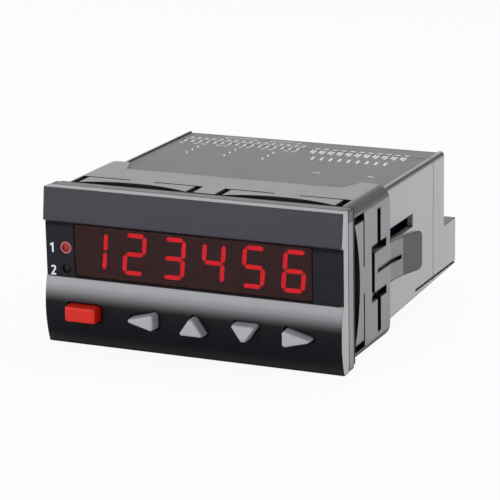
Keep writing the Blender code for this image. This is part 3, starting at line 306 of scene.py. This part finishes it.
def housing_plastic():
    """Spark-eroded dark grey moulding, with painted shade: darker on top, on its round edges, on a strip
    under its top edge, on its flange's outer side and in its slots, and with a painted highlight on its
    bead.
    """
    # The side colour as lit, and a darker painted-shade copy of it for the top.
    lit_side_colour, shaded_top_colour = (0.39, 0.378, 0.395), (0.190, 0.178, 0.175)
    # Painted shade factors: round edges, the strip under the top edge and the flange's outer side.
    round_edge_shade, under_edge_shade, flange_shade = 0.82, 0.60, 0.68
    flange_inner, flange_outer = 0.0462, 0.0468
    bead_front = SEAT_Y + 0.002
    finish = Finish("housing_plastic", gloss=0.2)
    across, _, upward = finish.parts(finish.soft_edges(0.0004))
    sideways = finish.magnitude(across)
    x, y, z = finish.parts(finish.place)
    top = finish.ramp(upward, 0.3, 0.9)
    # Painted shade where the round edges turn from side to top.
    round_edge = finish.product(
        finish.ramp(sideways, 0.45, 0.7), finish.ramp(finish.magnitude(upward), 0.15, 0.4)
    )
    # Painted shade on a strip of the side just under the top edge.
    under_edge_strip = finish.product(
        finish.ramp(z, HOUSING_TOP - 0.0012, HOUSING_TOP - 0.0007), finish.ramp(sideways, 0.6, 0.8)
    )
    # Painted highlight on the top of the bead behind the seat.
    bead_highlight = finish.product(
        finish.ramp(z, HOUSING_TOP + 0.0001, HOUSING_TOP + 0.0004), finish.ramp(y, SEAT_Y, bead_front)
    )
    shade = finish.product(
        finish.loss(round_edge, round_edge_shade),
        finish.loss(under_edge_strip, under_edge_shade),
        finish.math("ADD", 1.0, finish.product(bead_highlight, top)),
        # Painted shade on the flange's outer side.
        finish.ramp(finish.magnitude(x), flange_inner, flange_outer, 1.0, flange_shade),
    )
    # Random tone, times the painted shade and highlight above, times painted shade in the slots.
    tone = finish.product(
        finish.tone(broad_size=0.03, broad=0.09, fine_size=0.0004, fine=0.10),
        shade,
        finish.painted_crevice_shade(reach=0.004, low=0.48, high=0.80, darkest=0.02),
    )
    colour = finish.scaled(finish.mixed(top, lit_side_colour, shaded_top_colour), tone)
    return finish.surface(
        colour, roughness=0.46, wander=0.16, grain=0.00035, relief=0.000025, edge=0.0003
    )


def frame_plastic():
    """Satin grey moulding of the clamp frame, with painted shade: dark on its rounded corners, on faces
    that look forward, on side faces turned towards the front and in its slots, and darker on its sides
    than on top.
    """
    grey = (0.345, 0.332, 0.338)
    # Painted shade factors: rounded corners, sides and top, faces that look forward, and the flared lever
    # faces.
    corner_shade, side_shade, top_shade, front_shade, flare_shade = 0.15, 0.70, 0.88, 0.10, 0.62
    finish = Finish("frame_plastic", gloss=0.2)
    across, _, upward = finish.parts(finish.soft_edges(0.0008))
    lean = finish.math("MINIMUM", finish.magnitude(across), finish.magnitude(upward))
    x, y, z = finish.facing()
    # Painted shade on side faces that turn towards the front, as on the flared levers.
    flare = finish.product(
        finish.ramp(y, -0.30, -0.12, 1.0, 0.0), finish.ramp(finish.magnitude(x), 0.8, 0.9)
    )
    # Painted shade set by the way each face turns.
    shade = finish.product(
        finish.ramp(lean, 0.08, 0.5, 1.0, corner_shade),
        finish.ramp(finish.magnitude(z), 0.3, 0.9, side_shade, top_shade),
        finish.loss(flare, flare_shade),
        finish.ramp(y, -0.85, -0.5, front_shade, 1.0),
    )
    # Random tone, times the painted shade above, times painted shade in the slots.
    tone = finish.product(
        finish.tone(broad_size=0.025, broad=0.10, fine_size=0.0005, fine=0.07),
        shade,
        finish.painted_crevice_shade(reach=0.004, low=0.46, high=0.76, darkest=0.02),
    )
    return finish.surface(
        finish.scaled(grey, tone), roughness=0.38, wander=0.14, grain=0.0005, relief=0.000015, edge=0.0004
    )


def front_plastic():
    """The front: slate top band, navy window band with painted shadow along its edges, glossy black key
    panel with a painted reflection along its top and a greyer foot, a grey rim, and painted shade in its
    hollows.
    """
    # Band colours, and the painted shadow colour for the window band's top and bottom edges.
    slate, navy, lip_shadow = (0.046, 0.047, 0.059), (0.0145, 0.015, 0.022), (0.002, 0.002, 0.003)
    # The panel's black, and a lighter grey for its painted reflection along the top.
    panel_black, panel_painted_reflection = (0.006, 0.006, 0.009), (0.375, 0.38, 0.40)
    panel_foot, foot_height, foot_share = (0.028, 0.028, 0.030), 0.0045, 0.9
    rim_grey = (0.40, 0.388, 0.405)
    border = 0.0002
    finish = Finish("front_plastic", gloss=0.12)
    x, _, z = finish.parts(finish.place)
    # Painted reflection: the key panel turns grey towards its top.
    panel = finish.mixed(
        finish.ramp(z, BAND_LOW - 0.0079, BAND_LOW - 0.0011), panel_black, panel_painted_reflection
    )
    panel = finish.mixed(finish.ramp(z, 0.0, foot_height, foot_share, 0.0), panel, panel_foot)
    # Painted shadow along the window band's top edge, under the top band's lip, and along its bottom
    # edge.
    unshadowed = finish.product(
        finish.ramp(z, BAND_LOW + 0.0002, BAND_LOW + 0.0008),
        finish.ramp(z, BAND_HIGH - 0.0016, BAND_HIGH - 0.0010, 1.0, 0.0),
    )
    window = finish.mixed(unshadowed, lip_shadow, navy)
    bands = finish.mixed(finish.ramp(z, BAND_LOW - border, BAND_LOW), panel, window)
    bands = finish.mixed(finish.ramp(z, BAND_HIGH - border, BAND_HIGH), bands, slate)
    middle = BEZEL_HEIGHT / 2
    across = finish.math("DIVIDE", finish.magnitude(x), BEZEL_HALF_WIDTH)
    upward = finish.math("DIVIDE", finish.magnitude(finish.math("SUBTRACT", z, middle)), middle)
    rim = finish.product(
        finish.ramp(finish.math("MAXIMUM", across, upward), 0.975, 0.985),
        finish.ramp(finish.facing()[1], -0.8, -0.6),
    )
    # Random tone, times painted shade in the hollows.
    tone = finish.product(
        finish.tone(broad_size=0.02, broad=0.10, fine_size=0.0004, fine=0.08),
        finish.painted_crevice_shade(reach=0.003, low=0.25, high=0.6, darkest=0.15),
    )
    colour = finish.scaled(finish.mixed(rim, bands, rim_grey), tone)
    return finish.surface(
        colour, roughness=0.30, wander=0.10, grain=0.0006, relief=0.000006, edge=0.0003
    )


def key_plastic(name, colour):
    """Satin key with fine grain, a soft edge and painted shade in the crevices round it."""
    finish = Finish(name)
    # Random tone, times painted shade in the crevices.
    tone = finish.product(
        finish.tone(broad_size=0.008, broad=0.08, fine_size=0.0003, fine=0.07),
        finish.painted_crevice_shade(reach=0.0015, low=0.2, high=0.55, darkest=0.3),
    )
    return finish.surface(
        finish.scaled(colour, tone),
        roughness=0.42, wander=0.12, grain=0.0003, relief=0.000010, edge=0.00035,
    )


def moulded(
    name, colour, roughness, grain=0.0004, relief=0.00002, metallic=0.0, stretch=None, reach=0.003
):
    """Grained moulding or metal for the pieces at the rear and inside, with painted shade in their
    hollows.
    """
    finish = Finish(name)
    finish.shader.inputs["Metallic"].default_value = metallic
    # Random tone, times painted shade in the hollows.
    tone = finish.product(
        finish.tone(broad_size=0.012, broad=0.12, fine_size=grain, fine=0.12),
        finish.painted_crevice_shade(reach, low=0.2, high=0.65, darkest=0.12),
    )
    return finish.surface(
        finish.scaled(colour, tone),
        roughness, wander=0.16, grain=grain, relief=relief, edge=0.00025, stretch=stretch,
    )


def red_filter():
    """A dark red window that lets the lit segments through."""
    face, tint, cover = (0.055, 0.026, 0.026), (0.86, 0.40, 0.40), 0.42
    finish = Finish("red_filter")
    finish.surface(
        finish.scaled(face, finish.tone(broad_size=0.02, broad=0.12, fine_size=0.0008, fine=0.04)),
        roughness=0.18, wander=0.04, grain=0.004, relief=0.0000008, edge=0.0003,
    )
    clear = finish.add("ShaderNodeBsdfTransparent")
    finish.feed(clear.inputs["Color"], tint)
    finish.blend(cover, clear, finish.shader)
    return finish.material


def lit_segment():
    """A glowing segment, with a slightly uneven glow."""
    red, unlit, strength = (1.0, 0.010, 0.075), (0.35, 0.01, 0.02), 2.2
    finish = Finish("lit_segment")
    finish.surface(unlit, roughness=0.4, wander=0.1, grain=0.0006, relief=0.000004, edge=0.0001)
    tone = finish.tone(broad_size=0.004, broad=0.35, fine_size=0.0006, fine=0.2)
    finish.glow(finish.scaled(red, tone), strength)
    return finish.material


def status_lamp(name, middle, edge, strength):
    """A diffused lamp whose colour changes from its middle to its edge."""
    low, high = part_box(name)
    finish = Finish(name, gloss=0.12)
    x, _, z = finish.parts(finish.place)
    across = finish.math("SUBTRACT", x, (low.x + high.x) / 2)
    upward = finish.math("SUBTRACT", z, (low.z + high.z) / 2)
    squares = finish.math("ADD", finish.product(across, across), finish.product(upward, upward))
    outward = finish.ramp(finish.math("SQRT", squares), LED_RADIUS * 0.35, LED_RADIUS * 0.85)
    tone = finish.tone(broad_size=0.002, broad=0.15, fine_size=0.0003, fine=0.1)
    colour = finish.scaled(finish.mixed(outward, middle, edge), tone)
    finish.surface(colour, roughness=0.35, wander=0.1, grain=0.0003, relief=0.000005, edge=0.0002)
    finish.glow(colour, strength)
    return finish.material


def ring_plastic_and_glow(name, colour, strength):
    """The lens edge of a status lamp, with a painted glow where its lamp is lit."""
    finish = Finish(name, gloss=0.12)
    tone = finish.tone(broad_size=0.001, broad=0.2, fine_size=0.0003, fine=0.1)
    colour = finish.scaled(colour, tone)
    finish.surface(colour, roughness=0.4, wander=0.1, grain=0.0003, relief=0.000005, edge=0.0001)
    finish.glow(colour, strength)
    return finish.material


def circuit_board():
    """Green solder resist with faint tracks."""
    track_density, track_gap = 160.0, 0.06
    finish = Finish("circuit_board")
    tracks = finish.add("ShaderNodeTexBrick")
    tracks.inputs["Scale"].default_value = track_density
    tracks.inputs["Mortar Size"].default_value = track_gap
    finish.feed(tracks.inputs["Vector"], finish.place)
    finish.feed(tracks.inputs["Color1"], (0.016, 0.12, 0.045))
    finish.feed(tracks.inputs["Color2"], (0.02, 0.14, 0.055))
    finish.feed(tracks.inputs["Mortar"], (0.05, 0.24, 0.10))
    tone = finish.tone(broad_size=0.01, broad=0.1, fine_size=0.0008, fine=0.06)
    colour = finish.scaled(tracks.outputs[0], tone)
    return finish.surface(
        colour, roughness=0.34, wander=0.1, grain=0.0008, relief=0.00001, edge=0.0002
    )


def print_ink(name, colour):
    """Screen-printed ink with slightly uneven cover."""
    finish = Finish(name)
    tone = finish.tone(broad_size=0.002, broad=0.2, fine_size=0.0002, fine=0.2)
    colour = finish.scaled(colour, tone)
    return finish.surface(
        colour, roughness=0.5, wander=0.15, grain=0.0002, relief=0.000008, edge=0.00003
    )


def dress(obj, material):
    obj.data.materials.clear()
    obj.data.materials.append(material)


def dress_nodes():
    """Every node of the frame gets the material of its slot, and the two lamps their own."""
    made = {
        "housing_plastic": housing_plastic(),
        "frame_plastic": frame_plastic(),
        "front_plastic": front_plastic(),
        "red_filter": red_filter(),
        "circuit_board": circuit_board(),
        "red_key_plastic": key_plastic("red_key_plastic", (0.69, 0.014, 0.005)),
        "grey_key_plastic": key_plastic("grey_key_plastic", (0.44, 0.445, 0.475)),
        "gasket_rubber": moulded("gasket_rubber", (0.020, 0.019, 0.020), 0.75, grain=0.0006),
        "mat_rubber": moulded("mat_rubber", (0.05, 0.05, 0.052), 0.7),
        "iron_core": moulded(
            "iron_core", (0.24, 0.22, 0.20), 0.45,
            grain=0.0005, relief=0.00004, metallic=0.6, stretch=(0.1, 1.0, 0.1),
        ),
        "relay_plastic": moulded("relay_plastic", (0.05, 0.10, 0.25), 0.4),
        "capacitor_sleeve": moulded("capacitor_sleeve", (0.02, 0.02, 0.024), 0.3),
        "connector_plastic": moulded("connector_plastic", (0.02, 0.02, 0.021), 0.5),
        "terminal_plastic": moulded(
            "terminal_plastic", (0.085, 0.085, 0.09), 0.5, grain=0.00035, relief=0.00003
        ),
        "digit_plastic": moulded("digit_plastic", (0.016, 0.010, 0.010), 0.5),
        "screw_steel": moulded(
            "screw_steel", (0.62, 0.62, 0.60), 0.3,
            grain=0.0002, relief=0.00001, metallic=1.0, stretch=(1.0, 0.15, 1.0), reach=0.001,
        ),
    }
    for subpart in frame["record"]["subparts"]:
        slot = subpart["material_slot"]
        if slot in made:
            dress(NODES[subpart["node"]], made[slot])
    lit = status_lamp("status_led_1", (0.30, 0.036, 0.028), (0.26, 0.045, 0.045), strength=0.12)
    unlit = status_lamp("status_led_2", (0.008, 0.006, 0.006), (0.005, 0.005, 0.006), strength=0.0)
    dress(NODES["status_led_1"], lit)
    dress(NODES["status_led_2"], unlit)


def mesh_piece(name, bm, material, body="housing"):
    """A piece from a bmesh that rides on a body."""
    bmesh.ops.recalc_face_normals(bm, faces=bm.faces)
    mesh = bpy.data.meshes.new(name)
    bm.to_mesh(mesh)
    bm.free()
    obj = bpy.data.objects.new(name, mesh)
    bpy.context.collection.objects.link(obj)
    dress(obj, material)
    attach(obj, body)


def add_slab(bm, outline, lift):
    """A thin closed slab: the outline's points, pushed along a vector."""
    low = [bm.verts.new(point) for point in outline]
    high = [bm.verts.new(Vector(point) + lift) for point in outline]
    bm.faces.new(low)
    bm.faces.new(list(reversed(high)))
    for index in range(len(low)):
        after = (index + 1) % len(low)
        bm.faces.new((low[index], low[after], high[after], high[index]))


def add_ring(bm, centre, inner, outer):
    """A thin flat ring that faces the front, with a rounded crown."""
    profile = (
        (inner, 0.0), (inner, RING_SHOULDER), ((inner + outer) / 2, RING_CROWN),
        (outer, RING_SHOULDER), (outer, 0.0),
    )
    rows = []
    for step in range(RING_SIDES):
        angle = 2 * math.pi * step / RING_SIDES
        across, upward = math.cos(angle), math.sin(angle)
        rows.append([
            bm.verts.new((centre[0] + radius * across, centre[1] - rise, centre[2] + radius * upward))
            for radius, rise in profile
        ])
    for step, row in enumerate(rows):
        after = rows[(step + 1) % RING_SIDES]
        for index in range(len(profile)):
            following = (index + 1) % len(profile)
            bm.faces.new((row[index], row[following], after[following], after[index]))


def ribbon(points, width):
    """The outline of a line of even width through points, mitred at its corners."""
    left, right = [], []
    for index, (u, v) in enumerate(points):
        starts = points[max(index - 1, 0):index + 1]
        ends = points[max(index, 1):index + 2]
        sides = []
        for (u0, v0), (u1, v1) in zip(starts, ends):
            length = math.hypot(u1 - u0, v1 - v0)
            sides.append(Vector((-(v1 - v0) / length, (u1 - u0) / length)))
        mitre = sides[0]
        if len(sides) == 2:
            mitre = (sides[0] + sides[1]) / (1.0 + sides[0].dot(sides[1]))
        left.append((u + mitre.x * width / 2, v + mitre.y * width / 2))
        right.append((u - mitre.x * width / 2, v - mitre.y * width / 2))
    return left + right[::-1]


def segment_outline(code):
    """One segment as a slanted bar with pointed ends, about the digit's centre."""
    side, level, stands = SEGMENTS[code]
    x, z = side * DIGIT_HALF[0], level * DIGIT_HALF[1]
    length = DIGIT_HALF[1] if stands else 2 * DIGIT_HALF[0]
    start, end, half = SEGMENT_GAP, length - SEGMENT_GAP, SEGMENT_HALF
    run = (
        (start, 0), (start + half, -half), (end - half, -half),
        (end, 0), (end - half, half), (start + half, half),
    )
    shape = [(x - v, z + u) if stands else (x + u, z + v) for u, v in run]
    return [(u + SEGMENT_LEAN * v, v) for u, v in shape]


def lit_digits():
    """A glowing film on each segment that is lit."""
    glow = lit_segment()
    for index, codes in enumerate(SHOWN):
        low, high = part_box(f"digit_{index + 1}")
        centre_x, centre_z = (low.x + high.x) / 2, (low.z + high.z) / 2
        bm = bmesh.new()
        for code in codes:
            face = [(centre_x + u, low.y - INK_LIFT, centre_z + v) for u, v in segment_outline(code)]
            add_slab(bm, face, Vector((0.0, -SEGMENT_FILM, 0.0)))
        mesh_piece(f"lit_digit_{index + 1}", bm, glow)


def lamp_numbers():
    """The plain numbers 1 and 2 beside the two status lamps."""
    ink = print_ink("white_ink", (0.80, 0.81, 0.84))
    stroke = []
    for degrees in TWO_BOWL_ANGLES:
        angle = math.radians(degrees)
        stroke.append((TWO_BOWL_WIDE * math.cos(angle), TWO_BOWL_RISE + TWO_BOWL_TALL * math.sin(angle)))
    two_outline = ribbon(stroke + list(TWO_FOOT), TWO_STROKE)
    for number, outline, (x, z) in ((1, ONE_OUTLINE, ONE_CENTRE), (2, two_outline, TWO_CENTRE)):
        bm = bmesh.new()
        face = [(x + u * MM, WINDOW_BAND_Y - INK_LIFT, z + v * MM) for u, v in outline]
        add_slab(bm, face, Vector((0.0, -INK_FILM, 0.0)))
        mesh_piece(f"lamp_number_{number}", bm, ink)


def lamp_rings():
    """The lens edge around each status lamp; the first ring's rose colour and glow are painted light from
    its lit lamp.
    """
    # First ring: painted glow of the lit lamp on its lens edge; second ring: dark and unlit.
    finishes = (((0.50, 0.13, 0.15), 0.16), ((0.006, 0.005, 0.006), 0.0))
    for index, (colour, strength) in enumerate(finishes):
        name = f"lamp_ring_{index + 1}"
        low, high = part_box(f"status_led_{index + 1}")
        centre = ((low.x + high.x) / 2, WINDOW_BAND_Y - PRINT_LIFT, (low.z + high.z) / 2)
        bm = bmesh.new()
        add_ring(bm, centre, LED_RADIUS - RING_INSET, LED_RADIUS + RING_OUTSET)
        mesh_piece(name, bm, ring_plastic_and_glow(name, colour, strength))


def add_marks(bm, x, marks):
    """Printed lines on the housing's top, from points in mm and the X that they start from."""
    for points, width in marks:
        run = [((x + u) * MM, SEAT_Y + depth * MM) for u, depth in points]
        outline = [(u, v, HOUSING_TOP + PRINT_LIFT) for u, v in ribbon(run, width * MM)]
        add_slab(bm, outline, Vector((0.0, 0.0, PRINT_FILM)))


def wiring_print():
    """Generic wiring marks on top: terminal boxes, leads, brackets and plain dashes."""
    ink = print_ink("grey_ink", (0.86, 0.86, 0.88))
    left, right, small = bmesh.new(), bmesh.new(), bmesh.new()
    for index in range(LEFT_TERMINALS):
        marks = [TERMINAL_BOX, LEFT_LEAD]
        if index % 3 != 1:
            marks.append(LEFT_DASH)
        if index % 5 == 3:
            marks.extend(LEFT_SLANTS)
        add_marks(left, LEFT_START + LEFT_PITCH * index, marks)
    add_marks(left, 0.0, BRACKETS)
    for index in range(RIGHT_TERMINALS):
        marks = list(RIGHT_MARKS)
        if 0 < index < RIGHT_TERMINALS - 1:
            marks.append(RIGHT_TAIL)
        add_marks(right, RIGHT_START + RIGHT_PITCH * index, marks)
    add_marks(small, 0.0, SMALL_MARKS)
    for name, bm in (("left_print", left), ("right_print", right), ("small_marks", small)):
        mesh_piece(name, bm, ink)


def camera():
    """A camera at the place, turn and lens that were fitted to the photograph."""
    level = math.cos(CAMERA_ELEVATION)
    back = Vector((
        math.sin(CAMERA_AZIMUTH) * level, -math.cos(CAMERA_AZIMUTH) * level, math.sin(CAMERA_ELEVATION),
    ))
    right = Vector((math.cos(CAMERA_AZIMUTH), math.sin(CAMERA_AZIMUTH), 0.0))
    up = back.cross(right)
    side = right * math.cos(CAMERA_ROLL) + up * math.sin(CAMERA_ROLL)
    top = up * math.cos(CAMERA_ROLL) - right * math.sin(CAMERA_ROLL)
    aim = Vector((CAMERA_AIM[0], SEAT_Y + CAMERA_AIM[1], MID_Z + CAMERA_AIM[2]))
    data = bpy.data.cameras.new("camera")
    data.lens = CAMERA_LENS_MM
    data.sensor_width = SENSOR_MM
    data.clip_start, data.clip_end = CAMERA_CLIP
    obj = bpy.data.objects.new("camera", data)
    bpy.context.collection.objects.link(obj)
    turn = Matrix((side, top, back)).transposed().to_4x4()
    obj.matrix_world = Matrix.Translation(aim + back * CAMERA_DISTANCE) @ turn
    bpy.context.scene.camera = obj


def area_lamp(name, direction, distance, size, watts):
    """A soft lamp that looks at the object's middle from a direction."""
    centre = Vector((0.0, 0.0, MID_Z))
    data = bpy.data.lights.new(name, "AREA")
    data.shape = "RECTANGLE"
    data.size, data.size_y = size
    data.energy = watts
    obj = bpy.data.objects.new(name, data)
    bpy.context.collection.objects.link(obj)
    obj.location = centre + Vector(direction).normalized() * distance
    obj.rotation_euler = (centre - obj.location).to_track_quat("-Z", "Y").to_euler()


def seen_by(nodes, links, names):
    """1 for the kinds of ray that are named, 0 for the rest."""
    path = nodes.new("ShaderNodeLightPath")
    total = path.outputs[names[0]]
    for name in names[1:]:
        either = nodes.new("ShaderNodeMath")
        either.operation = "MAXIMUM"
        links.new(total, either.inputs[0])
        links.new(path.outputs[name], either.inputs[1])
        total = either.outputs[0]
    return total


def world():
    """A soft room: dim as a light, white where it is seen or mirrored."""
    made = bpy.data.worlds.new("studio")
    made.use_nodes = True
    bpy.context.scene.world = made
    nodes, links = made.node_tree.nodes, made.node_tree.links
    strength = nodes.new("ShaderNodeMapRange")
    strength.inputs["To Min"].default_value = ROOM_LIGHT
    strength.inputs["To Max"].default_value = ROOM_SEEN
    seen = seen_by(nodes, links, ("Is Camera Ray", "Is Glossy Ray", "Is Transmission Ray"))
    links.new(seen, strength.inputs["Value"])
    background = nodes["Background"]
    links.new(strength.outputs["Result"], background.inputs["Strength"])
    background.inputs["Color"].default_value = (1.0, 1.0, 1.0, 1.0)


def light():
    """The room, its four lamps and the plain view transform."""
    world()
    for name, settings in LAMPS.items():
        area_lamp(name, *settings)
    bpy.context.scene.view_settings.view_transform = "Standard"


def floor():
    """A pale floor that is nearly white to the camera and keeps a soft shadow."""
    pale = (0.9, 0.9, 0.9)
    bpy.ops.mesh.primitive_plane_add(size=FLOOR_SIZE, location=(0.0, 0.0, CAD_BOX[0][2] - FLOOR_DROP))
    ground = bpy.context.object
    ground.name = "studio_floor"
    finish = Finish("floor", gloss=0.1)
    tone = finish.tone(broad_size=0.2, broad=0.01, fine_size=0.01, fine=0.01)
    finish.surface(
        finish.scaled(pale, tone), roughness=0.8, wander=0.05, grain=0.01, relief=0.00002, edge=0.001
    )
    seen = seen_by(finish.nodes, finish.links, ("Is Camera Ray",))
    white = finish.add("ShaderNodeEmission")
    finish.blend(finish.product(seen, FLOOR_WHITE), finish.shader, white)
    dress(ground, finish.material)


camera()
light()
floor()
dress_nodes()
lit_digits()
lamp_numbers()
lamp_rings()
wiring_print()
